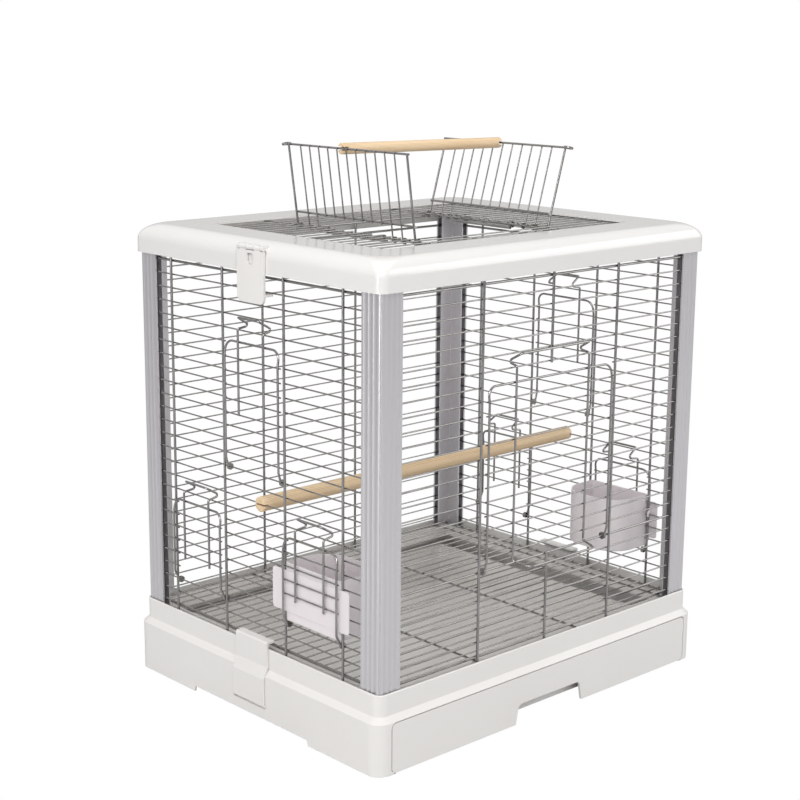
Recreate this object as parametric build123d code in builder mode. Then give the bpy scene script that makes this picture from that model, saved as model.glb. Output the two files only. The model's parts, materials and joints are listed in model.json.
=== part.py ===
from build123d import *
import os
from math import cos, radians, sin

os.makedirs("parts", exist_ok=True)

# Wires and the planes that they lie in
WIRE_PITCH = 18.5  # from one cross wire to the next
WIRE_COUNT = 28  # cross wires in each side, from under the roof frame into the base
PANEL_HALF_WIDTH = 293.5  # middle of the cage to the left and right wires
PANEL_HALF_DEPTH = 239.0  # middle of the cage to the front and back wires
THIN_WIRE = 2.0
THICK_WIRE = 3.5  # uprights, top wires and the hinge wires of the roof
DOOR_WIRE = 3.0
FRONT_HINGE_WIRE = 3.0
WELD = 0.02  # what is left between two crossing wires at a spot weld
STUB = 2.0  # a cut cross wire reaches this far past its upright
LOWEST_WIRE_RISE = 10.5  # lowest cross wire above the base channel

# Base
BASE_STEP_OUT = 7.5  # the skirt stands out this far from the upper tier
BASE_TIER_CLEARANCE = 6.0  # wires to the inside of the rim
BASE_WALL = 2.5
BASE_STEP_Z = 68.0
BASE_STEP_RISE = 7.0
BASE_RIM_Z = 103.0
BASE_CORNER = 20.0
TIER_CORNER = 14.0
CHANNEL_CORNER = 9.0
CHANNEL_FLOOR_Z = 80.0
CHANNEL_FLOOR_THICKNESS = 2.5
LEDGE_WALL = 3.0
LEDGE_OFFSET = 8.2  # wires to the outside of the ledge that carries the grate
BASE_FLOOR_Z = 8.0
BASE_FLOOR_FRONT = -215.0
FOOT_RECESS_HALF_LENGTH = 121.0
FOOT_RECESS_HEIGHT = 7.5
FOOT_RECESS_CORNER = 5.0

# Drawer
DRAWER_HALF_OPENING = 287.5
DRAWER_GAP = 1.3
DRAWER_FRONT_THICKNESS = 3.5
DRAWER_FRONT_CORNER = 7.0
DRAWER_LIFT = 1.0  # lower edge of the drawer front above the ground
TRAY_HALF_WIDTH = 276.0
TRAY_SETBACK = 17.0  # drawer front to the front wall of the tray
TRAY_WALL = 2.2
TRAY_TOP_Z = 62.0
TRAY_LIFT = 0.3
TRAY_BACK_GAP = 14.0
GUIDE_GAP = 0.4
GUIDE_WALL = 3.0
GUIDE_HEIGHT = 11.0
NOTCH_HALF_WIDTH = 66.0
NOTCH_HEIGHT = 28.0
NOTCH_SLANT = 6.0
NOTCH_CORNER = 8.0

# Floor grate
GRATE_Z = 101.0
GRATE_WIRE_PAIRS = 12
GRATE_EDGE_WIRE = 3.0
GRATE_CROSS_PLACES = (-120.0, 70.0, 258.0)
GRATE_CROSS_REACH = 2.5  # cross wires end this far inside the front and back wires
GRATE_EDGE_X = 280.0

# Corner posts
POST_FACE = 34.5
POST_THICKNESS = 12.5
POST_PROUD = 4.5  # outer face of a post outside the wire planes
POST_OUTER_WALL = 2.5
POST_SLOT_WIDTH = 8.0
POST_SLOT_DEPTH = 15.0
POST_CORNER = 6.0
POST_FLUTE_PLACES = (10.5, 19.0, 27.5)
POST_FLUTE_RADIUS = 9.0
POST_FLUTE_DEPTH = 0.8
POST_GROOVE = 1.0
EDGE_WIRE_SETBACK = 2.0  # edge upright inside the ends of its cross wires

# Roof frame
FRAME_PROUD = 10.0  # outer face outside the wire planes
FRAME_WALL = 3.0
FRAME_LOWER_RISE = 6.0  # lower edge above the top wires
FRAME_HEIGHT = 39.0
FRAME_CORNER = 12.0
FRAME_SHOULDER = 21.0  # radius of the rounding from the side of the roof frame to its top
FRAME_SHOULDER_STEPS = 6
FRAME_TOP_CORNER = 36.0
FRAME_SLAB = 2.7
ROOF_OPENING_HALF_WIDTH = 230.0
ROOF_OPENING_HALF_DEPTH = 173.0
ROOF_OPENING_CORNER = 14.0
POST_TOP_RISE = 19.0  # posts reach this far above the top wires
UPRIGHT_TOP_RISE = 17.0
BOSS_SIZE = 40.0

# Roof wires and hatch
ROOF_LIP_GAP = 0.3
ROOF_WIRE_PAIRS = 9
ROOF_WIRE_HALF_LENGTH = 247.0
ROOF_EDGE_WIRE_X = 245.0
HATCH_HALF_WIDTH = 120.9
HATCH_WIRE_PAIRS = 6  # pairs of roof wires that the hatch cuts
HATCH_CROSS_Y = 121.0
HINGE_WIRE_HALF_LENGTH = 195.0
KEEPER_DIAMETER = 4.0
KEEPER_EYES_Y = (-52.0, 59.0)
KEEPER_EYE_RADIUS = 4.5
KEEPER_INSET = 4.4
KEEPER_DROP = 4.2

# Roof flaps
FLAP_RADIUS = 113.4  # hinge to the upper rail
FLAP_LOWER_RAIL = 20.7
FLAP_TILT = {"left": 8.2, "right": 16.3}  # outward lean in degrees
FLAP_BAR_PAIRS = 5
FLAP_LEG_Y = 116.5
FLAP_HOOKED_BARS = (4, 5)
FLAP_BAR_OVERRUN = 1.8
HINGE_CLEARANCE = 0.05
EYE_OUTER_RADIUS = 6.5
EYE_INNER_RADIUS = 3.2
EYE_GAP = 0.3
EYE_THICKNESS = 2.6

# Perches
TOP_PERCH_DIAMETER = 15.0
TOP_PERCH_PAST_RAIL = 3.0
PERCH_SLOT_DEPTH = 7.5
PERCH_SLOT_HEIGHT = 5.4
PERCH_SLOT_DROP = 0.35
INNER_PERCH_DIAMETER = 20.0
INNER_PERCH_LEVEL = 16
INNER_PERCH_Y = -12.0
INNER_PERCH_PAST_WIRE = 4.0
PERCH_WIRE_GAP = 0.15
PERCH_END_CHAMFER = 1.0

# Uprights and door openings
FRONT_UPRIGHT_X = 126.9
BACK_UPRIGHT_X = 90.0
SIDE_UPRIGHTS = (62.4, 174.4)
FRONT_OPENING_LEVELS = (6, 20)
UPPER_OPENING_LEVELS = (4, 11)
FEEDER_OPENING_LEVELS = (17, 24)
UPPER_HINGE_LEVEL = 14

# Doors
FRONT_DOOR_HALF_WIDTH = 117.0
UPPER_DOOR_HALF_WIDTH = 54.5
FEEDER_DOOR_HALF_WIDTH = 52.0
DOOR_PROUD = 6.5
FEEDER_DOOR_PROUD = 10.0
FEEDER_DOOR_WIRE_RISE = 6.2  # its cross wires sit higher than those of the panel
DOOR_CORNER = 13.0
DOOR_SHOULDER = 20.0  # below the rail, where the legs start to lean in behind the catch
EYE_SWELL = 0.4  # a curled eye is this much thicker than its wire
DOOR_WIRE_OVERHANG = {"front": 2.5, "upper": 2.5, "feeder": 0.5}
DOOR_ANKLE = 14.0  # height over which a leg bends in to its ring
FRONT_CATCH_X = (69.0, 65.0)  # half distances of the two bars: door, finger bar
UPPER_CATCH_X = (26.0, 21.0)
FEEDER_CATCH_X = (27.5, 23.5)
CATCH_RISE = 2.7  # start of the catch above the wire that it hooks over
CATCH_TIP_RISE = 5.8
CATCH_TIP_INSIDE = 11.8
FINGER_BAR_RISE = 18.6
FINGER_BAR_PROUD = 10.0
CATCH_BEND = 3.0
HANDLE_REACH = 32.0
HANDLE_HALF_WIDTH = 62.0
HANDLE_RISE = 2.0
HANDLE_JOINT_RISE = 14.0

# Clips between the wires and the mouldings
TOP_CLIP_Y = -10.0
TOP_CLIP_WIDTH = 54.0
TOP_CLIP_THICKNESS = 3.0
TOP_CLIP_GAP = 0.5
TOP_CLIP_LENGTH = 70.0
TOP_CLIP_PIN_OUT = 1.7  # pin outside the face of the roof frame
TOP_CLIP_PIN_RISE = 31.5  # pin above the lower edge of the roof frame
TOP_CLIP_HOLE = (12.6, 14.0)
TOP_CLIP_HOLE_DROP = 3.5
KNUCKLE_RADIUS = 3.2
PIN_RADIUS = 1.5
KNUCKLE_WIDTH = 12.0
KNUCKLE_PLACE = 14.5
KNUCKLE_GAP = 0.5
LUG_WIDTH = 5.0
LUG_ROOT = 3.0
CLIP_LIP = 3.0
CLIP_WIRE_GAP = 0.3
BASE_CLIP_Y = -1.0
BASE_CLIP_WIDTH = 66.0
BASE_CLIP_THICKNESS = 3.2
BASE_CLIP_PROUD = 1.5
BASE_CLIP_PIVOT_Z = 26.0
BASE_CLIP_PIVOT_RADIUS = 1.0
BASE_CLIP_PIN_LENGTH = 2.5
BASE_CLIP_SIDE_GAP = 0.5
BASE_CLIP_GAP = 0.4
BASE_CLIP_CHEEK = 4.0
BASE_CLIP_BACK = 2.5

# Feeder cups
CUP_HALF_WIDTH = 53.7
CUP_WALL = 2.0
CUP_FRONT_PROUD = 5.2
CUP_DEPTH = 68.0
CUP_INNER_CORNER = 40.0
CUP_OUTER_CORNER = 2.0
CUP_BOTTOM_RISE = 6.0  # cup floor above the hinge wire of its door
CUP_HEIGHT = 78.0
CUP_PLATE_RISE = 13.0
CUP_PLATE_HEIGHT = 55.0
CUP_PLATE_THICKNESS = 1.5
CUP_PLATE_GAP = 0.15
CUP_PLATE_CORNER = 5.0
CUP_FRONT_EAR = 17.0
CUP_BACK_EAR = 24.0
CUP_HOOK_WIDTH = 2.6
CUP_HOOK_LEVEL = 21
CUP_HOOK_OUT = 6.6  # hooks outside the walls of the bowl, just past the uprights
CUP_HOOK_HEIGHT = 8.0
CUP_HOOK_DROP = 4.0
CUP_HOOK_TIP = 2.2

# Places worked out from the sizes above
UP = Vector(0, 0, 1)
LOWEST_WIRE_Z = CHANNEL_FLOOR_Z + LOWEST_WIRE_RISE
TOP_WIRE_Z = LOWEST_WIRE_Z + (WIRE_COUNT - 1) * WIRE_PITCH
UPRIGHT_OFFSET = (THIN_WIRE + THICK_WIRE) / 2 + WELD
UPRIGHT_FACE = UPRIGHT_OFFSET + THICK_WIRE / 2
FRAME_BOTTOM_Z = TOP_WIRE_Z + FRAME_LOWER_RISE
FRAME_TOP_Z = FRAME_BOTTOM_Z + FRAME_HEIGHT
ROOF_WIRE_Z = FRAME_TOP_Z - FRAME_SLAB - ROOF_LIP_GAP - THIN_WIRE / 2
HATCH_HINGE_Z = ROOF_WIRE_Z - UPRIGHT_OFFSET
FRAME_HALF_WIDTH = PANEL_HALF_WIDTH + FRAME_PROUD
FRAME_HALF_DEPTH = PANEL_HALF_DEPTH + FRAME_PROUD
TIER_PROUD = BASE_TIER_CLEARANCE + BASE_WALL
SKIRT_PROUD = TIER_PROUD + BASE_STEP_OUT
FEEDER_CENTRE = (SIDE_UPRIGHTS[0] + SIDE_UPRIGHTS[1]) / 2
FEEDER_HALF_OPENING = (SIDE_UPRIGHTS[1] - SIDE_UPRIGHTS[0]) / 2
FRONT_REACH = PANEL_HALF_DEPTH + HANDLE_REACH + DOOR_WIRE / 2
MIDDLE_TO_ORIGIN = (FRONT_REACH - PANEL_HALF_DEPTH - SKIRT_PROUD) / 2
SIDES = {"left": Vector(-1, 0, 0), "right": Vector(1, 0, 0)}
FRONT = Vector(0, -1, 0)
BACK = Vector(0, 1, 0)


def save(shape, name):
    """Label a finished piece and write it, moved so that the origin is under the middle of the whole part."""
    placed = shape.moved(Location((0, MIDDLE_TO_ORIGIN, 0)))
    placed.label = name
    export_step(placed, f"parts/{name}.step")


def level(number):
    """Height of a cross wire, counted down from the top one."""
    return TOP_WIRE_Z - number * WIRE_PITCH


def wires(plane, places, diameter, length):
    """Add straight round wires that stand on a plane."""
    with BuildSketch(plane) as sections:
        with Locations(*places):
            Circle(diameter / 2)
    extrude(sections.sketch, amount=length)


def bent_wire(points, bends, diameter):
    """Add one round wire along straight runs with rounded bends."""
    with BuildLine() as route:
        FilletPolyline(*points, radius=bends)
    with BuildSketch(Plane(origin=route.line @ 0, z_dir=route.line % 0)) as section:
        Circle(diameter / 2)
    sweep(section.sketch, path=route.line)


def ring(centre, axis, inner_radius, outer_radius, width):
    """Add a closed eye round a straight wire."""
    with BuildSketch(Plane(origin=centre - axis * (width / 2), z_dir=axis)) as section:
        Circle(outer_radius)
        Circle(inner_radius, mode=Mode.SUBTRACT)
    extrude(section.sketch, amount=width)


def along(outward):
    """Direction that runs across a side of the cage, seen from its outward direction."""
    return outward.cross(UP)


def panel_half(outward):
    """Distance from the middle of the cage to the wires of a side."""
    return PANEL_HALF_WIDTH if outward.X else PANEL_HALF_DEPTH


def on_side(outward, across, proud, height):
    """Point given by its place across a side, its distance outside the wires and its height."""
    return along(outward) * across + outward * (panel_half(outward) + proud) + UP * height


def free_spans(number, half_span, openings):
    """Stretches that the door openings leave of one cross wire."""
    edges = [-half_span]
    for centre, half_width, levels in openings:
        if levels[0] < number < levels[1]:
            edges += [centre - half_width + STUB, centre + half_width - STUB]
    edges.append(half_span)
    return list(zip(edges[::2], edges[1::2]))


def cross_wires(outward, half_span, thick, openings):
    """Add all cross wires of one side, cut where its doors are."""
    groups = {}
    for number in range(WIRE_COUNT):
        diameter = thick.get(number, THIN_WIRE)
        for span in free_spans(number, half_span, openings):
            groups.setdefault((span, diameter), []).append(number)
    for ((start, end), diameter), numbers in groups.items():
        origin = outward * panel_half(outward) + along(outward) * start
        plane = Plane(origin=origin, x_dir=outward, z_dir=along(outward))
        places = [((THIN_WIRE - diameter) / 2, level(number)) for number in numbers]
        wires(plane, places, diameter, end - start)


def uprights(outward, places, proud, bottom, top):
    """Add upright wires at places across one side."""
    points = [on_side(outward, place, proud, 0) for place in places]
    wires(Plane.XY.offset(bottom), [(point.X, point.Y) for point in points], THICK_WIRE, top - bottom)


def panel(outward, other_half, full_uprights, thick, openings):
    """Add the wires of one side: cross wires, uprights and the edge uprights inside the posts."""
    half_span = other_half - (POST_FACE - POST_PROUD) + POST_SLOT_DEPTH - EDGE_WIRE_SETBACK
    edge = half_span - EDGE_WIRE_SETBACK
    top = TOP_WIRE_Z + UPRIGHT_TOP_RISE
    cross_wires(outward, half_span, thick, openings)
    uprights(outward, full_uprights, UPRIGHT_OFFSET, CHANNEL_FLOOR_Z, top)
    edge_proud = THIN_WIRE / 2 - max([THIN_WIRE] + list(thick.values())[1:]) - THICK_WIRE / 2 - WELD
    uprights(outward, (-edge, edge), edge_proud, CHANNEL_FLOOR_Z, TOP_WIRE_Z - THICK_WIRE / 2 - EDGE_WIRE_SETBACK)


def door_frame(outward, centre, half_width, proud, rail_z, hinge_level, hinge_diameter):
    """Add the outer wire of a drop-down door, with a ring round its hinge wire at each foot."""
    hinge_proud = (THIN_WIRE - hinge_diameter) / 2
    ring_inner = hinge_diameter / 2 + HINGE_CLEARANCE
    foot_proud = hinge_proud + ring_inner + (DOOR_WIRE + EYE_SWELL) / 2
    hinge_z = level(hinge_level)
    rail_proud = proud - DOOR_WIRE - WELD
    points = []
    for side in (-1, 1):
        corners = [
            (foot_proud, hinge_z),
            (proud, hinge_z + DOOR_ANKLE),
            (proud, rail_z - DOOR_SHOULDER),
            (rail_proud, rail_z),
        ]
        leg = [on_side(outward, centre + side * half_width, *corner) for corner in corners]
        points += leg if side < 0 else leg[::-1]
    bends = [DOOR_ANKLE / 2, DOOR_ANKLE / 2, DOOR_CORNER]
    bent_wire(points, bends + bends[::-1], DOOR_WIRE)
    for side in (-1, 1):
        eye = on_side(outward, centre + side * half_width, hinge_proud, hinge_z)
        ring(eye, along(outward), ring_inner, ring_inner + DOOR_WIRE + EYE_SWELL, DOOR_WIRE + EYE_SWELL)


def door_cross_wires(outward, centre, half_width, overhang, proud, levels, rise=0.0):
    """Add the thin wires welded across the inside of a door's frame."""
    reach = half_width + overhang
    depth = proud - (DOOR_WIRE + THIN_WIRE) / 2 - WELD
    origin = outward * panel_half(outward) + along(outward) * (centre - reach)
    plane = Plane(origin=origin, x_dir=outward, z_dir=along(outward))
    wires(plane, [(depth, level(number) + rise) for number in levels], THIN_WIRE, 2 * reach)


def door_catch(outward, centre, half_widths, proud, hooked_level, foot_z):
    """Add the sprung double bar that hooks over a cross wire and ends in a finger bar."""
    hooked_z = level(hooked_level)
    door_bar, finger_bar = half_widths
    tip_bar = (door_bar + finger_bar) / 2
    profile = [
        (door_bar, proud, foot_z),
        (door_bar, proud, hooked_z + CATCH_RISE),
        (tip_bar, -CATCH_TIP_INSIDE, hooked_z + CATCH_TIP_RISE),
        (finger_bar, FINGER_BAR_PROUD, hooked_z + FINGER_BAR_RISE),
    ]
    left = [on_side(outward, centre - across, out, height) for across, out, height in profile]
    right = [on_side(outward, centre + across, out, height) for across, out, height in profile]
    bent_wire(left + right[::-1], CATCH_BEND, DOOR_WIRE)


def rounded_block(half_width, half_depth, corner, bottom, top):
    """Add a block with rounded upright corners."""
    with BuildSketch(Plane.XY.offset(bottom)) as outline:
        RectangleRounded(2 * half_width, 2 * half_depth, corner)
    extrude(outline.sketch, amount=top - bottom)


def side_plane(outward, across):
    """Plane square to a side of the cage: x is the distance from the middle, y is the height."""
    return Plane(origin=along(outward) * across, x_dir=outward, z_dir=along(outward))


# Base: an open moulding with a stepped skirt, a channel for the wires and a ledge for the grate
skirt_half_width = PANEL_HALF_WIDTH + SKIRT_PROUD
skirt_half_depth = PANEL_HALF_DEPTH + SKIRT_PROUD
tier_half_width = PANEL_HALF_WIDTH + TIER_PROUD
tier_half_depth = PANEL_HALF_DEPTH + TIER_PROUD
cavity_top = BASE_STEP_Z - BASE_WALL
step_top = BASE_STEP_Z + BASE_STEP_RISE
ledge_top = GRATE_Z - THIN_WIRE / 2 - GRATE_EDGE_WIRE - WELD - HINGE_CLEARANCE
channel_half_width = PANEL_HALF_WIDTH - LEDGE_OFFSET
channel_half_depth = PANEL_HALF_DEPTH - LEDGE_OFFSET
drawer_opening_top = BASE_STEP_Z - 0.5
guide_x = TRAY_HALF_WIDTH + GUIDE_GAP + GUIDE_WALL / 2
base_floor_top = BASE_FLOOR_Z + BASE_WALL
tray_back_y = skirt_half_depth - BASE_WALL - TRAY_BACK_GAP

# The clip pivots in a pocket of the skirt and its lip lies over the wire above the rim
clip_outer = skirt_half_width + BASE_CLIP_PROUD
clip_inner = clip_outer - BASE_CLIP_THICKNESS
clip_pivot_x = clip_outer - BASE_CLIP_THICKNESS / 2
clip_upper_inner = tier_half_width + BASE_CLIP_GAP
clip_wire_z = level(WIRE_COUNT - 2)
clip_lip_z = clip_wire_z + THIN_WIRE / 2 + CLIP_WIRE_GAP
pocket_back = clip_inner - BASE_CLIP_GAP - 0.5
pocket_half_width = BASE_CLIP_WIDTH / 2 + BASE_CLIP_SIDE_GAP
pocket_bottom = BASE_CLIP_PIVOT_Z - 8.0

with BuildPart() as base_body:
    rounded_block(skirt_half_width, skirt_half_depth, BASE_CORNER, 0, BASE_STEP_Z)
    with BuildSketch(Plane.XY.offset(BASE_STEP_Z)) as step_foot:
        RectangleRounded(2 * skirt_half_width, 2 * skirt_half_depth, BASE_CORNER)
    with BuildSketch(Plane.XY.offset(step_top)) as step_head:
        RectangleRounded(2 * tier_half_width, 2 * tier_half_depth, TIER_CORNER)
    loft([step_foot.sketch, step_head.sketch], ruled=True)
    rounded_block(tier_half_width, tier_half_depth, TIER_CORNER, step_top, BASE_RIM_Z)
    rim = base_body.edges().group_by(Axis.Z)[-1]
    fillet(rim, 1.2)
    with BuildSketch(Plane.XY) as cavity:
        RectangleRounded(2 * (skirt_half_width - BASE_WALL), 2 * (skirt_half_depth - BASE_WALL),
                         BASE_CORNER - BASE_WALL)
    extrude(cavity.sketch, amount=cavity_top, mode=Mode.SUBTRACT)
    with BuildSketch(Plane.XY) as inner_opening:
        Rectangle(2 * (channel_half_width - LEDGE_WALL), 2 * (channel_half_depth - LEDGE_WALL))
    extrude(inner_opening.sketch, amount=BASE_RIM_Z, mode=Mode.SUBTRACT)
    with BuildSketch(Plane.XY.offset(cavity_top)) as under_channel:
        RectangleRounded(2 * (tier_half_width - BASE_WALL), 2 * (tier_half_depth - BASE_WALL),
                         TIER_CORNER - BASE_WALL)
    extrude(under_channel.sketch, amount=CHANNEL_FLOOR_Z - CHANNEL_FLOOR_THICKNESS - cavity_top,
            mode=Mode.SUBTRACT)
    with BuildSketch(Plane.XY.offset(CHANNEL_FLOOR_Z)) as channel:
        RectangleRounded(2 * (tier_half_width - BASE_WALL), 2 * (tier_half_depth - BASE_WALL), CHANNEL_CORNER)
        Rectangle(2 * channel_half_width, 2 * channel_half_depth, mode=Mode.SUBTRACT)
    extrude(channel.sketch, amount=BASE_RIM_Z - CHANNEL_FLOOR_Z, mode=Mode.SUBTRACT)
    with BuildSketch(Plane.XY.offset(ledge_top)) as above_ledge:
        Rectangle(2 * channel_half_width, 2 * channel_half_depth)
    extrude(above_ledge.sketch, amount=BASE_RIM_Z - ledge_top, mode=Mode.SUBTRACT)
    with BuildSketch(Plane.XY.offset(BASE_FLOOR_Z)) as floor:
        with Locations((0, (skirt_half_depth - BASE_WALL / 2 + BASE_FLOOR_FRONT) / 2)):
            Rectangle(2 * skirt_half_width - BASE_WALL, skirt_half_depth - BASE_WALL / 2 - BASE_FLOOR_FRONT)
        fillet(floor.vertices().group_by(Axis.Y)[-1], BASE_CORNER - BASE_WALL)
    extrude(floor.sketch, amount=BASE_WALL)
    with BuildSketch(Plane.XY.offset(base_floor_top)) as guides:
        with Locations((0, (tray_back_y + BASE_FLOOR_FRONT) / 2)):
            with GridLocations(2 * guide_x, 0, 2, 1):
                Rectangle(GUIDE_WALL, tray_back_y - BASE_FLOOR_FRONT)
    extrude(guides.sketch, amount=GUIDE_HEIGHT)
    with BuildSketch(Plane.XZ.offset(skirt_half_depth - BASE_CORNER)) as drawer_opening:
        with Locations((0, drawer_opening_top / 2)):
            Rectangle(2 * DRAWER_HALF_OPENING, drawer_opening_top)
        fillet(drawer_opening.vertices().group_by(Axis.Z)[-1], DRAWER_FRONT_CORNER + DRAWER_GAP)
    extrude(drawer_opening.sketch, amount=BASE_CORNER, mode=Mode.SUBTRACT)
    with BuildSketch(Plane.YZ.offset(-skirt_half_width)) as foot_recess:
        Rectangle(2 * FOOT_RECESS_HALF_LENGTH, 2 * FOOT_RECESS_HEIGHT)
        fillet(foot_recess.vertices(), FOOT_RECESS_CORNER)
    extrude(foot_recess.sketch, amount=2 * skirt_half_width, mode=Mode.SUBTRACT)
    for outward in SIDES.values():
        turn = along(outward).Y
        with BuildSketch(side_plane(outward, BASE_CLIP_Y * turn)) as backing:
            with Locations((pocket_back - BASE_CLIP_BACK, base_floor_top)):
                Rectangle(skirt_half_width - pocket_back + BASE_CLIP_BACK - 0.6, cavity_top - base_floor_top,
                          align=(Align.MIN, Align.MIN))
        extrude(backing.sketch, amount=pocket_half_width + BASE_CLIP_CHEEK, both=True)
        with BuildSketch(side_plane(outward, BASE_CLIP_Y * turn)) as pocket:
            with BuildLine():
                Polyline(
                    (clip_outer + 5, pocket_bottom),
                    (pocket_back, pocket_bottom + 4),
                    (pocket_back, BASE_STEP_Z - 5),
                    (tier_half_width, step_top + 4),
                    (tier_half_width, BASE_RIM_Z + 5),
                    (clip_outer + 5, BASE_RIM_Z + 5),
                    close=True,
                )
            make_face()
        extrude(pocket.sketch, amount=pocket_half_width, both=True, mode=Mode.SUBTRACT)
        with BuildSketch(side_plane(outward, BASE_CLIP_Y * turn)) as pin_holes:
            with Locations((clip_pivot_x, BASE_CLIP_PIVOT_Z)):
                Circle(BASE_CLIP_PIVOT_RADIUS + HINGE_CLEARANCE)
        extrude(pin_holes.sketch, amount=BASE_CLIP_WIDTH / 2 + BASE_CLIP_PIN_LENGTH + BASE_CLIP_SIDE_GAP,
                both=True, mode=Mode.SUBTRACT)
save(base_body.part, "base_body")

# Clips of the base: pivoted at the foot, with a lip over the lowest open wire
for name, outward in SIDES.items():
    turn = along(outward).Y
    with BuildPart() as base_clip:
        with BuildSketch(side_plane(outward, BASE_CLIP_Y * turn)) as section:
            with BuildLine():
                lip_reach = PANEL_HALF_WIDTH - THIN_WIRE / 2 - 0.5
                lip_top = clip_lip_z + CLIP_LIP
                upper_outer = clip_upper_inner + BASE_CLIP_THICKNESS
                Polyline(
                    (clip_inner, BASE_CLIP_PIVOT_Z),
                    (clip_inner, BASE_STEP_Z - 5),
                    (clip_upper_inner, step_top + 4),
                    (clip_upper_inner, clip_lip_z),
                    (lip_reach, clip_lip_z),
                    (lip_reach, lip_top - 1),
                    (lip_reach + 1, lip_top),
                    (upper_outer - 2, lip_top),
                    (upper_outer, lip_top - 2),
                    (upper_outer, step_top + 4),
                    (clip_outer, BASE_STEP_Z - 5),
                    (clip_outer, BASE_CLIP_PIVOT_Z),
                    close=True,
                )
            make_face()
            with Locations((clip_pivot_x, BASE_CLIP_PIVOT_Z)):
                Circle(BASE_CLIP_THICKNESS / 2)
        extrude(section.sketch, amount=BASE_CLIP_WIDTH / 2, both=True)
        with BuildSketch(side_plane(outward, BASE_CLIP_Y * turn)) as pin:
            with Locations((clip_pivot_x, BASE_CLIP_PIVOT_Z)):
                Circle(BASE_CLIP_PIVOT_RADIUS)
        extrude(pin.sketch, amount=BASE_CLIP_WIDTH / 2 + BASE_CLIP_PIN_LENGTH, both=True)
    save(base_clip.part, f"base_clip_{name}")

# Drawer: a front that closes the skirt, joined by a flange to the tray behind it
front_bottom = DRAWER_LIFT
front_top = drawer_opening_top - DRAWER_GAP
front_half_width = DRAWER_HALF_OPENING - DRAWER_GAP
tray_front_y = -skirt_half_depth + TRAY_SETBACK
tray_bottom = base_floor_top + TRAY_LIFT
with BuildPart() as drawer:
    with BuildSketch(Plane.XZ.offset(skirt_half_depth - DRAWER_FRONT_THICKNESS)) as front:
        with Locations((0, (front_top + front_bottom) / 2)):
            RectangleRounded(2 * front_half_width, front_top - front_bottom, DRAWER_FRONT_CORNER)
        with BuildLine() as notch:
            FilletPolyline(
                (-NOTCH_HALF_WIDTH, front_bottom - 4),
                (-NOTCH_HALF_WIDTH + NOTCH_SLANT, NOTCH_HEIGHT),
                (NOTCH_HALF_WIDTH - NOTCH_SLANT, NOTCH_HEIGHT),
                (NOTCH_HALF_WIDTH, front_bottom - 4),
                radius=NOTCH_CORNER,
            )
            Line(notch.line @ 1, notch.line @ 0)
        make_face(mode=Mode.SUBTRACT)
    extrude(front.sketch, amount=DRAWER_FRONT_THICKNESS)
    tray_depth = tray_back_y - tray_front_y
    with BuildSketch(Plane.XY.offset(tray_bottom)) as tray:
        with Locations((0, (tray_back_y + tray_front_y) / 2)):
            RectangleRounded(2 * TRAY_HALF_WIDTH, tray_depth, 6)
    extrude(tray.sketch, amount=TRAY_TOP_Z - tray_bottom)
    with BuildSketch(Plane.XY.offset(tray_bottom + TRAY_WALL)) as hollow:
        with Locations((0, (tray_back_y + tray_front_y) / 2)):
            RectangleRounded(2 * (TRAY_HALF_WIDTH - TRAY_WALL), tray_depth - 2 * TRAY_WALL, 6 - TRAY_WALL)
    extrude(hollow.sketch, amount=TRAY_TOP_Z, mode=Mode.SUBTRACT)
    with BuildSketch(Plane.XY.offset(TRAY_TOP_Z - TRAY_WALL)) as flange:
        with Locations((0, tray_front_y + TRAY_WALL / 2)):
            Rectangle(2 * TRAY_HALF_WIDTH - 12, TRAY_SETBACK - DRAWER_FRONT_THICKNESS / 2 + TRAY_WALL / 2,
                      align=(Align.CENTER, Align.MAX))
    extrude(flange.sketch, amount=TRAY_WALL)
save(drawer.part, "drawer")

# Floor grate: thin wires across the cage on cross wires that lie on the ledge
grate_cross_z = GRATE_Z - (THIN_WIRE + GRATE_EDGE_WIRE) / 2 - WELD
grate_edge_z = grate_cross_z + GRATE_EDGE_WIRE + WELD
grate_edge_y = channel_half_depth - GRATE_EDGE_WIRE / 2
with BuildPart() as floor_grate:
    grate_plane = Plane.YZ.offset(-GRATE_EDGE_X - GRATE_EDGE_WIRE / 2)
    grate_length = 2 * GRATE_EDGE_X + GRATE_EDGE_WIRE
    grate_wires_y = [side * (i + 0.5) * WIRE_PITCH for i in range(GRATE_WIRE_PAIRS) for side in (-1, 1)]
    wires(grate_plane, [(y, GRATE_Z) for y in grate_wires_y], THIN_WIRE, grate_length)
    wires(grate_plane, [(y, grate_edge_z) for y in (-grate_edge_y, grate_edge_y)], GRATE_EDGE_WIRE, grate_length)
    cross_reach = PANEL_HALF_DEPTH - GRATE_CROSS_REACH
    wires(Plane.XZ.offset(-cross_reach), [(x, grate_cross_z) for x in GRATE_CROSS_PLACES],
          GRATE_EDGE_WIRE, 2 * cross_reach)
    edge_reach = grate_edge_y + GRATE_EDGE_WIRE / 2
    wires(Plane.XZ.offset(-edge_reach), [(x, grate_cross_z) for x in (-GRATE_EDGE_X, GRATE_EDGE_X)],
          GRATE_EDGE_WIRE, 2 * edge_reach)
save(floor_grate.part, "floor_grate")

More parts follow.
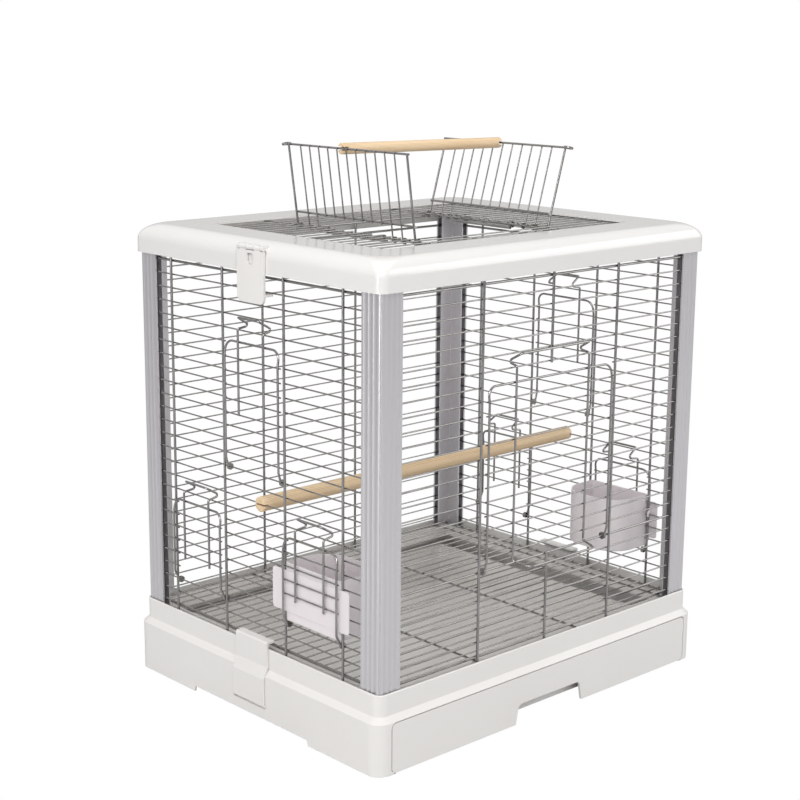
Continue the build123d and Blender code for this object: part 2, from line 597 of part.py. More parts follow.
# Corner posts: fluted angle profiles, slotted along both edges for the wire panels
post_top_z = TOP_WIRE_Z + POST_TOP_RISE
for x_name, x_side in (("left", -1), ("right", 1)):
    for y_name, y_side in (("front", -1), ("back", 1)):
        corner_x = x_side * (PANEL_HALF_WIDTH + POST_PROUD)
        corner_y = y_side * (PANEL_HALF_DEPTH + POST_PROUD)
        with BuildPart() as post:
            with BuildSketch(Plane.XY.offset(CHANNEL_FLOOR_Z)) as profile:
                with Locations((corner_x - x_side * POST_FACE / 2, corner_y - y_side * POST_THICKNESS / 2)):
                    Rectangle(POST_FACE, POST_THICKNESS)
                with Locations((corner_x - x_side * POST_THICKNESS / 2, corner_y - y_side * POST_FACE / 2)):
                    Rectangle(POST_THICKNESS, POST_FACE)
                outer_corner = profile.vertices().sort_by_distance((corner_x, corner_y, CHANNEL_FLOOR_Z))[0]
                fillet(outer_corner, POST_CORNER)
                slot_out = POST_OUTER_WALL + POST_SLOT_WIDTH / 2
                slot_in = POST_FACE - POST_SLOT_DEPTH / 2
                with Locations((corner_x - x_side * slot_in, corner_y - y_side * slot_out)):
                    Rectangle(POST_SLOT_DEPTH, POST_SLOT_WIDTH, mode=Mode.SUBTRACT)
                with Locations((corner_x - x_side * slot_out, corner_y - y_side * slot_in)):
                    Rectangle(POST_SLOT_WIDTH, POST_SLOT_DEPTH, mode=Mode.SUBTRACT)
                flute_out = POST_FLUTE_RADIUS - POST_FLUTE_DEPTH
                for flute in POST_FLUTE_PLACES:
                    with Locations((corner_x - x_side * flute, corner_y + y_side * flute_out),
                                   (corner_x + x_side * flute_out, corner_y - y_side * flute)):
                        Circle(POST_FLUTE_RADIUS, mode=Mode.SUBTRACT)
                groove_inset = POST_CORNER * (1 - cos(radians(45)))
                with Locations((corner_x - x_side * groove_inset, corner_y - y_side * groove_inset)):
                    Circle(POST_GROOVE, mode=Mode.SUBTRACT)
            extrude(profile.sketch, amount=post_top_z - CHANNEL_FLOOR_Z)
        save(post.part, f"post_{y_name}_{x_name}")

# Wire panels of the four sides
front_openings = [(0, FRONT_UPRIGHT_X, FRONT_OPENING_LEVELS)]
side_openings = [
    (-FEEDER_CENTRE, FEEDER_HALF_OPENING, FEEDER_OPENING_LEVELS),
    (0, SIDE_UPRIGHTS[0], UPPER_OPENING_LEVELS),
    (FEEDER_CENTRE, FEEDER_HALF_OPENING, FEEDER_OPENING_LEVELS),
]
with BuildPart() as front_panel:
    panel(FRONT, PANEL_HALF_WIDTH, (-FRONT_UPRIGHT_X, FRONT_UPRIGHT_X),
          {0: THICK_WIRE, FRONT_OPENING_LEVELS[1]: FRONT_HINGE_WIRE}, front_openings)
    uprights(FRONT, (0,), UPRIGHT_OFFSET, level(FRONT_OPENING_LEVELS[0]) - STUB, TOP_WIRE_Z + UPRIGHT_TOP_RISE)
    uprights(FRONT, (0,), UPRIGHT_OFFSET, CHANNEL_FLOOR_Z, level(FRONT_OPENING_LEVELS[1]) + STUB)
save(front_panel.part, "front_panel")

with BuildPart() as back_panel:
    panel(BACK, PANEL_HALF_WIDTH, (-BACK_UPRIGHT_X, BACK_UPRIGHT_X), {0: THICK_WIRE}, [])
save(back_panel.part, "back_panel")

for name, outward in SIDES.items():
    with BuildPart() as side_panel:
        side_places = [side * place for place in SIDE_UPRIGHTS for side in (-1, 1)]
        panel(outward, PANEL_HALF_DEPTH, side_places, {0: THICK_WIRE}, side_openings)
    save(side_panel.part, f"{name}_panel")

# Roof frame: a rounded moulding, hollow below, that stands on the posts and laps over the roof wires
boss_inner_x = FRAME_HALF_WIDTH - BOSS_SIZE
boss_inner_y = FRAME_HALF_DEPTH - BOSS_SIZE


def frame_sections(inset, drop):
    """Rounded outlines of the roof frame from its shoulder to its top, all inset and lowered alike."""
    outlines = []
    for step in range(FRAME_SHOULDER_STEPS + 1):
        turned = radians(90 * step / FRAME_SHOULDER_STEPS)
        shrink = FRAME_SHOULDER * (1 - cos(turned))
        height = FRAME_TOP_Z - FRAME_SHOULDER * (1 - sin(turned)) - drop
        corner = FRAME_CORNER + (FRAME_TOP_CORNER - FRAME_CORNER) * shrink / FRAME_SHOULDER - inset
        with BuildSketch(Plane.XY.offset(height)) as outline:
            RectangleRounded(2 * (FRAME_HALF_WIDTH - inset - shrink), 2 * (FRAME_HALF_DEPTH - inset - shrink), corner)
        outlines.append(outline.sketch)
    return outlines


shoulder_z = FRAME_TOP_Z - FRAME_SHOULDER
with BuildPart() as frame_cavity:
    rounded_block(FRAME_HALF_WIDTH - FRAME_WALL, FRAME_HALF_DEPTH - FRAME_WALL, FRAME_CORNER - FRAME_WALL,
                  FRAME_BOTTOM_Z, shoulder_z - FRAME_SLAB)
    loft(frame_sections(FRAME_WALL, FRAME_SLAB), ruled=True)
    with BuildSketch(Plane.XY.offset(post_top_z)) as bosses:
        with GridLocations(FRAME_HALF_WIDTH + boss_inner_x, FRAME_HALF_DEPTH + boss_inner_y, 2, 2):
            Rectangle(BOSS_SIZE, BOSS_SIZE)
    extrude(bosses.sketch, amount=FRAME_HEIGHT, mode=Mode.SUBTRACT)

top_pin_x = FRAME_HALF_WIDTH + TOP_CLIP_PIN_OUT
top_pin_z = FRAME_BOTTOM_Z + TOP_CLIP_PIN_RISE
lug_outer_place = KNUCKLE_PLACE + (KNUCKLE_WIDTH + LUG_WIDTH) / 2 + KNUCKLE_GAP
middle_lug_width = 2 * (KNUCKLE_PLACE - KNUCKLE_WIDTH / 2 - KNUCKLE_GAP)
with BuildPart() as top_frame:
    rounded_block(FRAME_HALF_WIDTH, FRAME_HALF_DEPTH, FRAME_CORNER, FRAME_BOTTOM_Z, shoulder_z)
    loft(frame_sections(0, 0))
    add(frame_cavity.part, mode=Mode.SUBTRACT)
    with BuildSketch(Plane.XY.offset(FRAME_BOTTOM_Z)) as roof_opening:
        RectangleRounded(2 * ROOF_OPENING_HALF_WIDTH, 2 * ROOF_OPENING_HALF_DEPTH, ROOF_OPENING_CORNER)
    extrude(roof_opening.sketch, amount=2 * FRAME_HEIGHT, mode=Mode.SUBTRACT)
    for outward in SIDES.values():
        turn = along(outward).Y
        for place, width in ((-lug_outer_place, LUG_WIDTH), (0, middle_lug_width), (lug_outer_place, LUG_WIDTH)):
            with BuildSketch(side_plane(outward, TOP_CLIP_Y * turn + place)) as lug:
                with Locations((top_pin_x, top_pin_z)):
                    Circle(KNUCKLE_RADIUS)
                    Rectangle(FRAME_WALL + TOP_CLIP_PIN_OUT + LUG_ROOT, 2 * KNUCKLE_RADIUS,
                              align=(Align.MAX, Align.CENTER))
                    Circle(PIN_RADIUS + HINGE_CLEARANCE, mode=Mode.SUBTRACT)
            extrude(lug.sketch, amount=width / 2, both=True)
save(top_frame.part, "top_frame")

# Clips of the roof frame: hinged on its shoulder, with a lip under the second wire
top_clip_lip_z = level(1) - THIN_WIRE / 2 - CLIP_WIRE_GAP
for name, outward in SIDES.items():
    turn = along(outward).Y
    plate_inner = FRAME_HALF_WIDTH + TOP_CLIP_GAP
    plate_top = top_pin_z - KNUCKLE_RADIUS - KNUCKLE_GAP
    plate_bottom = top_pin_z + KNUCKLE_RADIUS - TOP_CLIP_LENGTH - KNUCKLE_RADIUS
    with BuildPart() as top_clip:
        with BuildSketch(side_plane(outward, TOP_CLIP_Y * turn)) as section:
            with Locations((plate_inner, plate_bottom)):
                Rectangle(TOP_CLIP_THICKNESS, plate_top - plate_bottom, align=(Align.MIN, Align.MIN))
            with Locations((PANEL_HALF_WIDTH - THIN_WIRE / 2 - 0.5, top_clip_lip_z)):
                Rectangle(plate_inner - PANEL_HALF_WIDTH + THIN_WIRE / 2 + 1.5, CLIP_LIP,
                          align=(Align.MIN, Align.MAX))
        extrude(section.sketch, amount=TOP_CLIP_WIDTH / 2, both=True)
        corners = top_clip.edges().filter_by(Axis.X).group_by(Axis.Z)[0]
        fillet(corners.filter_by(lambda edge: edge.length > 2), 8)
        for place in (-KNUCKLE_PLACE, KNUCKLE_PLACE):
            with BuildSketch(side_plane(outward, TOP_CLIP_Y * turn + place)) as knuckle:
                with Locations((top_pin_x, top_pin_z)):
                    Circle(KNUCKLE_RADIUS)
                with Locations((plate_inner, plate_top - 2)):
                    Rectangle(TOP_CLIP_THICKNESS, top_pin_z - plate_top + 2, align=(Align.MIN, Align.MIN))
            extrude(knuckle.sketch, amount=KNUCKLE_WIDTH / 2, both=True)
        with BuildSketch(side_plane(outward, TOP_CLIP_Y * turn)) as pin:
            with Locations((top_pin_x, top_pin_z)):
                Circle(PIN_RADIUS)
        extrude(pin.sketch, amount=lug_outer_place + LUG_WIDTH / 2, both=True)
        hole_width, hole_height = TOP_CLIP_HOLE
        hole_plane = Plane(origin=outward * (plate_inner - 1), x_dir=along(outward), z_dir=outward)
        with BuildSketch(hole_plane) as hole:
            hole_z = plate_top - TOP_CLIP_HOLE_DROP - hole_height / 2
            with Locations((TOP_CLIP_Y * turn, hole_z * hole_plane.y_dir.Z)):
                RectangleRounded(hole_width, hole_height, 3)
        extrude(hole.sketch, amount=TOP_CLIP_THICKNESS + 2, mode=Mode.SUBTRACT)
    save(top_clip.part, f"top_clip_{name}")

# Roof wires: across the cage on four long wires, cut where the hatch is
hinge_bore = THICK_WIRE / 2 + HINGE_CLEARANCE
with BuildPart() as roof_grille:
    full_places = [side * (number + 0.5) * WIRE_PITCH for number in range(HATCH_WIRE_PAIRS, ROOF_WIRE_PAIRS)
                   for side in (-1, 1)]
    cut_places = [side * (number + 0.5) * WIRE_PITCH for number in range(HATCH_WIRE_PAIRS) for side in (-1, 1)]
    roof_plane = Plane.YZ.offset(-ROOF_WIRE_HALF_LENGTH)
    cut_length = ROOF_WIRE_HALF_LENGTH - HATCH_HALF_WIDTH + THIN_WIRE
    wires(roof_plane, [(y, ROOF_WIRE_Z) for y in full_places], THIN_WIRE, 2 * ROOF_WIRE_HALF_LENGTH)
    for plane in (roof_plane, Plane.YZ.offset(ROOF_WIRE_HALF_LENGTH - cut_length)):
        wires(plane, [(y, ROOF_WIRE_Z) for y in cut_places], THIN_WIRE, cut_length)
    hatch_cross_reach = HATCH_HALF_WIDTH + THICK_WIRE
    hatch_cross_z = HATCH_HINGE_Z - THICK_WIRE - WELD
    wires(Plane.YZ.offset(-hatch_cross_reach), [(y, hatch_cross_z) for y in (-HATCH_CROSS_Y, HATCH_CROSS_Y)],
          THICK_WIRE, 2 * hatch_cross_reach)
    long_places = (-ROOF_EDGE_WIRE_X, -HATCH_HALF_WIDTH, HATCH_HALF_WIDTH, ROOF_EDGE_WIRE_X)
    wires(Plane.XZ.offset(-HINGE_WIRE_HALF_LENGTH), [(x, HATCH_HINGE_Z) for x in long_places],
          THICK_WIRE, 2 * HINGE_WIRE_HALF_LENGTH)
save(roof_grille.part, "roof_grille")

# Keeper rods: hang beside the hatch with an eye round the hinge wire at each end
for name, outward in SIDES.items():
    hinge_x = outward.X * HATCH_HALF_WIDTH
    with BuildPart() as keeper_rod:
        for y in KEEPER_EYES_Y:
            ring(Vector(hinge_x, y, HATCH_HINGE_Z), BACK, hinge_bore, KEEPER_EYE_RADIUS, KEEPER_DIAMETER)
        rod_place = (hinge_x - outward.X * KEEPER_INSET, HATCH_HINGE_Z - KEEPER_DROP)
        front_y, back_y = KEEPER_EYES_Y
        wires(Plane.XZ.offset(-back_y - KEEPER_DIAMETER / 2), [rod_place], KEEPER_DIAMETER,
              back_y - front_y + KEEPER_DIAMETER)
    save(keeper_rod.part, f"keeper_rod_{name}")


def flap_axes(name):
    """Hinge point, direction up the flap and outward direction square to it, at the flap's lean."""
    outward = SIDES[name]
    lean = radians(FLAP_TILT[name])
    hinge = outward * HATCH_HALF_WIDTH + UP * HATCH_HINGE_Z
    return hinge, outward * sin(lean) + UP * cos(lean), outward * cos(lean) - UP * sin(lean)


# Roof flaps: bars between two rails, two legs and four bars hooked round the hinge wire
leg_out = hinge_bore + (DOOR_WIRE + EYE_SWELL) / 2
rail_out = leg_out - DOOR_WIRE - WELD
bar_out = rail_out + (DOOR_WIRE + THIN_WIRE) / 2 + WELD
rail_axis = {}
for name, outward in SIDES.items():
    hinge, rising, leaning = flap_axes(name)
    rail_axis[name] = hinge + rising * FLAP_RADIUS + leaning * rail_out
    with BuildPart() as flap:
        rail_plane = Plane(origin=hinge - BACK * FLAP_LEG_Y, x_dir=leaning, z_dir=BACK)
        height_sign = rail_plane.y_dir.dot(rising)
        wires(rail_plane, [(rail_out, height_sign * FLAP_LOWER_RAIL)], DOOR_WIRE, 2 * FLAP_LEG_Y)
        eye_y = FLAP_LEG_Y + DOOR_WIRE / 2 + EYE_GAP + EYE_OUTER_RADIUS
        rail_end = eye_y - EYE_OUTER_RADIUS + DOOR_WIRE / 2
        eye_end = Vector(0, -outward.X, 0)
        upper_plane = Plane(origin=rail_axis[name] - eye_end * FLAP_LEG_Y, z_dir=eye_end)
        wires(upper_plane, [(0, 0)], DOOR_WIRE, FLAP_LEG_Y + rail_end)
        ring(rail_axis[name] + eye_end * eye_y, rising, EYE_INNER_RADIUS, EYE_OUTER_RADIUS, EYE_THICKNESS)
        foot_plane = Plane(origin=hinge, x_dir=BACK, z_dir=rising)
        out_sign = foot_plane.y_dir.dot(leaning)
        bar_top = FLAP_RADIUS + FLAP_BAR_OVERRUN
        hooked = [side * number * WIRE_PITCH for number in FLAP_HOOKED_BARS for side in (-1, 1)]
        plain = [number * WIRE_PITCH for number in range(-FLAP_BAR_PAIRS, FLAP_BAR_PAIRS + 1)
                 if abs(number) not in FLAP_HOOKED_BARS]
        lower_plane = foot_plane.offset(FLAP_LOWER_RAIL - FLAP_BAR_OVERRUN)
        wires(lower_plane, [(y, out_sign * bar_out) for y in plain], THIN_WIRE,
              bar_top - FLAP_LOWER_RAIL + FLAP_BAR_OVERRUN)
        for y in hooked:
            wires(foot_plane, [(y, out_sign * bar_out)], THIN_WIRE, bar_top)
            ring(hinge + BACK * y, BACK, hinge_bore, hinge_bore + THIN_WIRE + EYE_SWELL, THIN_WIRE + EYE_SWELL)
        for y in (-FLAP_LEG_Y, FLAP_LEG_Y):
            wires(foot_plane, [(y, out_sign * leg_out)], DOOR_WIRE, bar_top)
            ring(hinge + BACK * y, BACK, hinge_bore, hinge_bore + DOOR_WIRE + EYE_SWELL, DOOR_WIRE + EYE_SWELL)
    save(flap.part, f"flap_{name}")

# Top perch: a dowel with a slot in each end that grips the two upper rails
perch_y = WIRE_PITCH / 2
left_rail = Vector(rail_axis["left"].X, perch_y, rail_axis["left"].Z)
right_rail = Vector(rail_axis["right"].X, perch_y, rail_axis["right"].Z - PERCH_SLOT_DROP)
perch_run = (right_rail - left_rail).normalized()
perch_length = (right_rail - left_rail).length + 2 * TOP_PERCH_PAST_RAIL
perch_start = left_rail - perch_run * TOP_PERCH_PAST_RAIL
perch_plane = Plane(origin=perch_start, x_dir=BACK, z_dir=perch_run)
with BuildPart() as top_perch:
    wires(perch_plane, [(0, 0)], TOP_PERCH_DIAMETER, perch_length)
    chamfer(top_perch.edges().filter_by(GeomType.CIRCLE), PERCH_END_CHAMFER)
    for plane in (perch_plane, perch_plane.offset(perch_length - PERCH_SLOT_DEPTH)):
        with BuildSketch(plane) as slot:
            Rectangle(TOP_PERCH_DIAMETER + 2, PERCH_SLOT_HEIGHT)
        extrude(slot.sketch, amount=PERCH_SLOT_DEPTH, mode=Mode.SUBTRACT)
save(top_perch.part, "top_perch")

# Inner perch: a thicker dowel whose slotted ends sit on a wire of each side
inner_half_length = PANEL_HALF_WIDTH + INNER_PERCH_PAST_WIRE
slot_floor = PANEL_HALF_WIDTH - THIN_WIRE / 2 - PERCH_WIRE_GAP
inner_perch_z = level(INNER_PERCH_LEVEL)
with BuildPart() as inner_perch:
    wires(Plane.YZ.offset(-inner_half_length), [(INNER_PERCH_Y, inner_perch_z)],
          INNER_PERCH_DIAMETER, 2 * inner_half_length)
    chamfer(inner_perch.edges().filter_by(GeomType.CIRCLE), PERCH_END_CHAMFER)
    for start in (-inner_half_length, slot_floor):
        with BuildSketch(Plane.YZ.offset(start)) as slot:
            with Locations((INNER_PERCH_Y, inner_perch_z)):
                Rectangle(INNER_PERCH_DIAMETER + 2, THIN_WIRE + 2 * PERCH_WIRE_GAP)
        extrude(slot.sketch, amount=inner_half_length - slot_floor, mode=Mode.SUBTRACT)
save(inner_perch.part, "inner_perch")

# Front door: frame, cross wires, catch and the handle that also holds it level when it is open
front_rail_z = level(FRONT_OPENING_LEVELS[0] + 1)
front_hinge_z = level(FRONT_OPENING_LEVELS[1])
handle_joint_z = front_hinge_z + HANDLE_JOINT_RISE
with BuildPart() as front_door:
    door_frame(FRONT, 0, FRONT_DOOR_HALF_WIDTH, DOOR_PROUD, front_rail_z,
               FRONT_OPENING_LEVELS[1], FRONT_HINGE_WIRE)
    door_cross_wires(FRONT, 0, FRONT_DOOR_HALF_WIDTH, DOOR_WIRE_OVERHANG["front"], DOOR_PROUD,
                     range(FRONT_OPENING_LEVELS[0] + 2, FRONT_OPENING_LEVELS[1]))
save(front_door.part, "front_door")
with BuildPart() as front_catch:
    door_catch(FRONT, 0, FRONT_CATCH_X, DOOR_PROUD, FRONT_OPENING_LEVELS[0], handle_joint_z)
save(front_catch.part, "front_door_catch")
with BuildPart() as front_handle:
    handle_z = front_hinge_z + HANDLE_RISE
    handle_profile = [
        (FRONT_CATCH_X[0], DOOR_PROUD, handle_joint_z),
        (FRONT_CATCH_X[0], DOOR_PROUD, handle_z + 3),
        (HANDLE_HALF_WIDTH, HANDLE_REACH, handle_z),
    ]
    left = [on_side(FRONT, -across, out, height) for across, out, height in handle_profile]
    right = [on_side(FRONT, across, out, height) for across, out, height in handle_profile]
    bent_wire(left + right[::-1], [4, 8, 8, 4], DOOR_WIRE)
save(front_handle.part, "front_door_handle")

# Side doors: one upper door and two feeder doors on each side
for name, outward in SIDES.items():
    turn = along(outward).Y
    upper_hooked, upper_sill = UPPER_OPENING_LEVELS
    with BuildPart() as upper_door:
        door_frame(outward, 0, UPPER_DOOR_HALF_WIDTH, DOOR_PROUD, level(upper_hooked) - 15,
                   UPPER_HINGE_LEVEL, THIN_WIRE)
        door_cross_wires(outward, 0, UPPER_DOOR_HALF_WIDTH, DOOR_WIRE_OVERHANG["upper"], DOOR_PROUD,
                         range(upper_hooked + 2, upper_sill))
    save(upper_door.part, f"upper_door_{name}")
    with BuildPart() as upper_catch:
        door_catch(outward, 0, UPPER_CATCH_X, DOOR_PROUD, upper_hooked, level(upper_sill - 1))
    save(upper_catch.part, f"upper_door_catch_{name}")
    feeder_hooked, feeder_sill = FEEDER_OPENING_LEVELS
    for place_name, place in (("front", -FEEDER_CENTRE), ("rear", FEEDER_CENTRE)):
        with BuildPart() as feeder_door:
            door_frame(outward, place * turn, FEEDER_DOOR_HALF_WIDTH, FEEDER_DOOR_PROUD,
                       level(feeder_hooked) - 11, feeder_sill, THIN_WIRE)
            door_cross_wires(outward, place * turn, FEEDER_DOOR_HALF_WIDTH, DOOR_WIRE_OVERHANG["feeder"],
                             FEEDER_DOOR_PROUD, range(feeder_hooked + 2, feeder_sill - 1),
                             FEEDER_DOOR_WIRE_RISE)
        save(feeder_door.part, f"feeder_door_{place_name}_{name}")
        with BuildPart() as feeder_catch:
            door_catch(outward, place * turn, FEEDER_CATCH_X, FEEDER_DOOR_PROUD, feeder_hooked,
                       level(feeder_sill - 2))
        save(feeder_catch.part, f"feeder_door_catch_{place_name}_{name}")

# Feeder cups: a rounded bowl through the front feeder opening, with a plate hooked on the wires
cup_bottom = level(FEEDER_OPENING_LEVELS[1]) + CUP_BOTTOM_RISE
plate_bottom = cup_bottom + CUP_PLATE_RISE
plate_proud = UPRIGHT_FACE + CUP_PLATE_GAP
hook_bottom = level(CUP_HOOK_LEVEL) + THIN_WIRE / 2 + CLIP_WIRE_GAP


def cup_outline(plane, outward, wall):
    """Plan of the cup, or of its hollow when a wall is taken off all round."""
    with BuildSketch(plane) as outline:
        with Locations((0, CUP_FRONT_PROUD - wall)):
            Rectangle(2 * (CUP_HALF_WIDTH - wall), CUP_DEPTH + CUP_FRONT_PROUD - 2 * wall,
                      align=(Align.CENTER, Align.MAX))
        fillet(outline.vertices().group_by(Axis.Y)[0], CUP_INNER_CORNER - wall)
        fillet(outline.vertices().group_by(Axis.Y)[-1], CUP_OUTER_CORNER + CUP_WALL - wall)
    return outline.sketch


for name, outward in SIDES.items():
    turn = along(outward).Y
    centre = -FEEDER_CENTRE * turn
    cup_plane = Plane(origin=on_side(outward, centre, 0, cup_bottom), x_dir=along(outward), z_dir=UP)
    with BuildPart() as cup:
        extrude(cup_outline(cup_plane, outward, 0), amount=CUP_HEIGHT)
        fillet(cup.edges().group_by(Axis.Z)[0], CUP_OUTER_CORNER)
        plate_plane = Plane(origin=on_side(outward, centre, plate_proud, plate_bottom),
                            x_dir=along(outward), z_dir=outward)
        up_sign = plate_plane.y_dir.Z
        front_end = (CUP_HALF_WIDTH + CUP_FRONT_EAR) * -turn
        back_end = (CUP_HALF_WIDTH + CUP_BACK_EAR) * turn
        with BuildSketch(plate_plane) as plate:
            with Locations(((front_end + back_end) / 2, up_sign * CUP_PLATE_HEIGHT / 2)):
                RectangleRounded(abs(back_end - front_end), CUP_PLATE_HEIGHT, CUP_PLATE_CORNER)
        extrude(plate.sketch, amount=CUP_PLATE_THICKNESS)
        extrude(cup_outline(cup_plane.offset(CUP_WALL), outward, CUP_WALL), amount=CUP_HEIGHT,
                mode=Mode.SUBTRACT)
        for side in (-1, 1):
            hook_across = side * (CUP_HALF_WIDTH + CUP_HOOK_OUT) + centre
            with BuildSketch(side_plane(outward, hook_across)) as hook:
                hook_inner = panel_half(outward) - THIN_WIRE / 2 - CLIP_WIRE_GAP
                with BuildLine():
                    Polyline(
                        (panel_half(outward) + plate_proud + 1, hook_bottom),
                        (hook_inner, hook_bottom),
                        (hook_inner, hook_bottom - CUP_HOOK_DROP),
                        (hook_inner - CUP_HOOK_TIP, hook_bottom - CUP_HOOK_DROP),
                        (hook_inner - CUP_HOOK_TIP, hook_bottom + CUP_HOOK_TIP),
                        (panel_half(outward) + plate_proud + 1, hook_bottom + CUP_HOOK_HEIGHT),
                        close=True,
                    )
                make_face()
            extrude(hook.sketch, amount=CUP_HOOK_WIDTH / 2, both=True)
    save(cup.part, f"cup_{name}")
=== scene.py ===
import bpy
import json
from mathutils import Matrix, Vector
from math import cos, radians, sin

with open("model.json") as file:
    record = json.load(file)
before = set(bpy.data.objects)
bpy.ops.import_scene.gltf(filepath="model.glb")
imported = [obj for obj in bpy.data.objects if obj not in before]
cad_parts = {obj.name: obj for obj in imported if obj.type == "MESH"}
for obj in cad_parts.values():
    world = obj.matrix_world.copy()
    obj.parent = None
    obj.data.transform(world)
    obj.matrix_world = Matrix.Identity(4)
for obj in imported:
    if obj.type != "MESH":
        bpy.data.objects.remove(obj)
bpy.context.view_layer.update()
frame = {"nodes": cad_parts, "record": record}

# Camera: a long lens at about the height of the roof, off the front left corner.
# Its place, turn and lens were fitted to points on the wires of the photograph, taken as 800 x 800.
azimuth, elevation, roll = radians(-42.987), radians(12.679), radians(0.465)
camera_place = (-1.5698, -1.63195, 0.8967)
sensor_width = 36
lens = 74.80
nearest_shown = 0.05
farthest_shown = 30
back = Vector((sin(azimuth) * cos(elevation), -cos(azimuth) * cos(elevation), sin(elevation)))
right = Vector((cos(azimuth), sin(azimuth), 0))
up = back.cross(right)
turned_right = right * cos(roll) + up * sin(roll)
turned_up = up * cos(roll) - right * sin(roll)
camera_data = bpy.data.cameras.new("camera")
camera_data.sensor_width = sensor_width
camera_data.lens = lens
camera_data.clip_start = nearest_shown
camera_data.clip_end = farthest_shown
camera = bpy.data.objects.new("camera", camera_data)
camera_matrix = Matrix((turned_right, turned_up, back)).transposed().to_4x4()
camera_matrix.translation = camera_place
camera.matrix_world = camera_matrix
bpy.context.scene.collection.objects.link(camera)
bpy.context.scene.camera = camera
bpy.context.scene.view_settings.view_transform = "Standard"
bpy.context.scene.view_settings.look = "None"

# World: white behind the cage, an even light on it, and a darker room for its metal to mirror
even_light = (0.62, 0.62, 0.63, 1)
pale_end = (0.75, 0.74, 0.73, 1)
dark_end = (0.16, 0.155, 0.15, 1)
white = (1, 1, 1, 1)
world = bpy.data.worlds.new("room")
bpy.context.scene.world = world
world.use_nodes = True
nodes, links = world.node_tree.nodes, world.node_tree.links
nodes.clear()
path = nodes.new("ShaderNodeLightPath")
geometry = nodes.new("ShaderNodeNewGeometry")
split = nodes.new("ShaderNodeSeparateXYZ")
links.new(geometry.outputs["Incoming"], split.inputs["Vector"])
room = nodes.new("ShaderNodeValToRGB")
room.color_ramp.elements[0].position = 0.30
room.color_ramp.elements[0].color = pale_end
room.color_ramp.elements[1].position = 0.75
room.color_ramp.elements[1].color = dark_end
height = nodes.new("ShaderNodeMapRange")
height.inputs["From Min"].default_value = -1
height.inputs["From Max"].default_value = 1
links.new(split.outputs["Z"], height.inputs["Value"])
links.new(height.outputs["Result"], room.inputs["Fac"])
mirrored = nodes.new("ShaderNodeMix")
mirrored.data_type = "RGBA"
mirrored.inputs["A"].default_value = even_light
links.new(path.outputs["Is Glossy Ray"], mirrored.inputs["Factor"])
links.new(room.outputs["Color"], mirrored.inputs["B"])
seen = nodes.new("ShaderNodeMix")
seen.data_type = "RGBA"
seen.inputs["B"].default_value = white
links.new(path.outputs["Is Camera Ray"], seen.inputs["Factor"])
links.new(mirrored.outputs["Result"], seen.inputs["A"])
background = nodes.new("ShaderNodeBackground")
world_output = nodes.new("ShaderNodeOutputWorld")
links.new(seen.outputs["Result"], background.inputs["Color"])
links.new(background.outputs["Background"], world_output.inputs["Surface"])

# Lamps: a wide soft one over the front left, a strip for the edge lights on metal, a fill from the
# right and a weak one above, all turned to the middle of the cage
lit_point = Vector((0, 0, 0.35))
for name, place, size, size_y, power in (
    ("key", (-1.6, -1.9, 2.4), 1.6, 1.2, 42),
    ("strip", (-2.6, -0.3, 1.0), 0.35, 1.8, 14),
    ("fill", (2.2, -1.8, 1.4), 1.6, 1.6, 16),
    ("top", (0.2, 0.2, 2.6), 1.8, 1.8, 9),
):
    lamp_data = bpy.data.lights.new(name, "AREA")
    lamp_data.shape = "RECTANGLE"
    lamp_data.size = size
    lamp_data.size_y = size_y
    lamp_data.energy = power
    lamp = bpy.data.objects.new(name, lamp_data)
    lamp.location = place
    lamp.rotation_euler = (Vector(place) - lit_point).to_track_quat("Z", "Y").to_euler()
    bpy.context.scene.collection.objects.link(lamp)

# Floor: white to the camera, and it passes light back up as white card does
floor_reach = 6
floor_z = -0.0004
card_grey = (0.62, 0.62, 0.62, 1)
floor_mesh = bpy.data.meshes.new("floor")
floor_corners = [
    (-floor_reach, -floor_reach, floor_z),
    (floor_reach, -floor_reach, floor_z),
    (floor_reach, floor_reach, floor_z),
    (-floor_reach, floor_reach, floor_z),
]
floor_mesh.from_pydata(floor_corners, [], [(0, 1, 2, 3)])
floor = bpy.data.objects.new("floor", floor_mesh)
bpy.context.scene.collection.objects.link(floor)
floor_material = bpy.data.materials.new("floor_card")
floor_material.use_nodes = True
nodes, links = floor_material.node_tree.nodes, floor_material.node_tree.links
nodes.clear()
path = nodes.new("ShaderNodeLightPath")
card = nodes.new("ShaderNodeBsdfDiffuse")
card.inputs["Color"].default_value = card_grey
glow = nodes.new("ShaderNodeEmission")
glow.inputs["Color"].default_value = white
choose = nodes.new("ShaderNodeMixShader")
floor_output = nodes.new("ShaderNodeOutputMaterial")
links.new(path.outputs["Is Camera Ray"], choose.inputs[0])
links.new(card.outputs["BSDF"], choose.inputs[1])
links.new(glow.outputs["Emission"], choose.inputs[2])
links.new(choose.outputs["Shader"], floor_output.inputs["Surface"])
floor_mesh.materials.append(floor_material)

